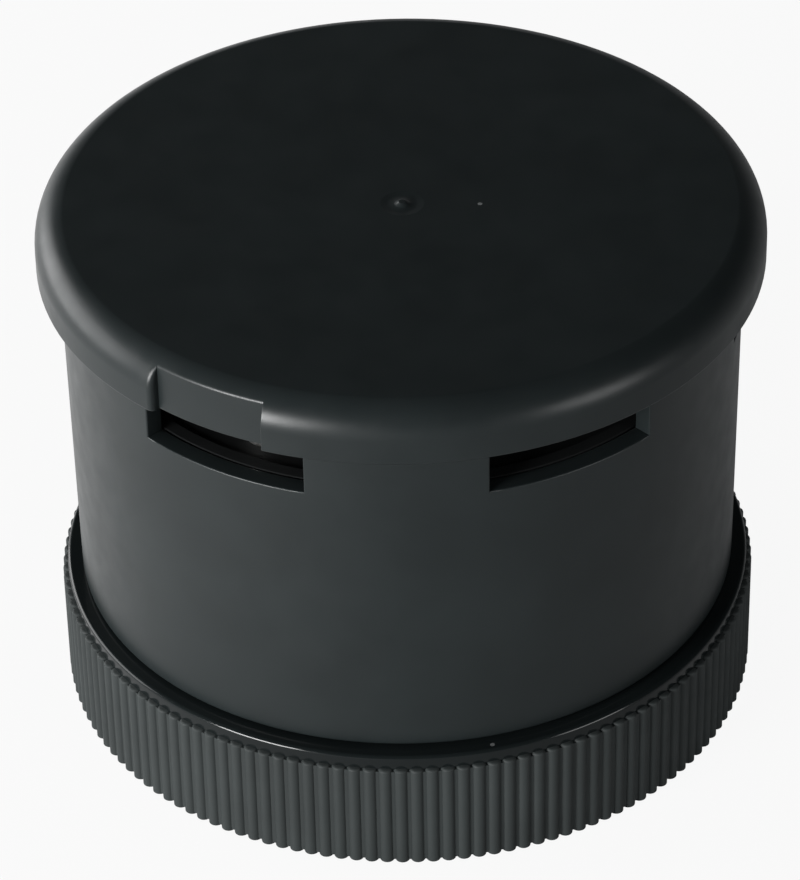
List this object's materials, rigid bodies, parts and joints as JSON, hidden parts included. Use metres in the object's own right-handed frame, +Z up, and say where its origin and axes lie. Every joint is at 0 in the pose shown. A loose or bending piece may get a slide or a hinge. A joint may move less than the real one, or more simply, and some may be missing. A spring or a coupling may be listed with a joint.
{
  "type": "audible alarm horn",
  "caption": "Round alarm horn for the top of a 70 mm signal light stack: overhanging flat cap, sound slots under its rim, smooth housing and a ribbed ring that turns to lock.",
  "frame": {"origin": "centre of the foot, on the plane that the coupling ring stands on", "axes": "+Z up along the axis, out of the cap; -Y towards the front, where the cap's notch is on the left; +X to the right"},
  "size_m": [0.07, 0.07, 0.054],
  "materials": {
    "shell_plastic": "satin black moulded plastic",
    "ring_plastic": "satin black moulded plastic, polished on the collar",
    "carrier_plastic": "matt black moulded plastic",
    "seal_rubber": "matt black rubber",
    "screw_steel": "zinc-plated steel",
    "board_laminate": "glass-fibre laminate under green lacquer",
    "chip_resin": "moulded black resin",
    "capacitor_sleeve": "dark blue shrink sleeve",
    "ferrite": "bare dark ferrite",
    "copper_wire": "enamelled copper wire",
    "varistor_coat": "blue epoxy dip",
    "seat_silicone": "translucent white silicone",
    "contact_brass": "bare rolled brass",
    "piezo_ceramic": "silvered piezo ceramic",
    "resistor_coat": "beige lacquer",
    "lead_red": "red wire insulation",
    "lead_black": "black wire insulation"
  },
  "bodies": {
    "sounder": {"cap": "shell_plastic", "housing": "shell_plastic", "contact_carrier": "carrier_plastic", "coupling_seal": "seal_rubber", "carrier_screws": "screw_steel", "circuit_board": "board_laminate", "board_screws": "screw_steel", "driver_chip": "chip_resin", "bridge_rectifier": "chip_resin", "transistor": "chip_resin", "capacitor_large": "capacitor_sleeve", "capacitor_small": "capacitor_sleeve", "coil_core": "ferrite", "coil_winding": "copper_wire", "varistor": "varistor_coat", "sounder_case": "carrier_plastic", "diaphragm_seat": "seat_silicone", "diaphragm": "contact_brass", "ceramic_disc": "piezo_ceramic", "port_plate": "carrier_plastic", "baffle": "carrier_plastic", "baffle_gasket": "seal_rubber", "baffle_screws": "screw_steel", "lead_red": "lead_red", "lead_black": "lead_black", "contact_pin_1": "contact_brass", "contact_pin_2": "contact_brass", "contact_pin_3": "contact_brass", "contact_pin_4": "contact_brass", "contact_pin_5": "contact_brass", "contact_pin_6": "contact_brass", "resistor_1": "resistor_coat", "resistor_2": "resistor_coat", "resistor_3": "resistor_coat", "resistor_4": "resistor_coat", "diode_1": "chip_resin", "diode_2": "chip_resin"},
    "ring": {"coupling_ring": "ring_plastic"}
  },
  "joints": [
    {"name": "ring_turn", "type": "hinge", "parent": "sounder", "child": "ring", "pos_m": [0, 0, 0.0114], "axis": [0, 0, -1], "range_deg": [0, 18]}
  ]
}
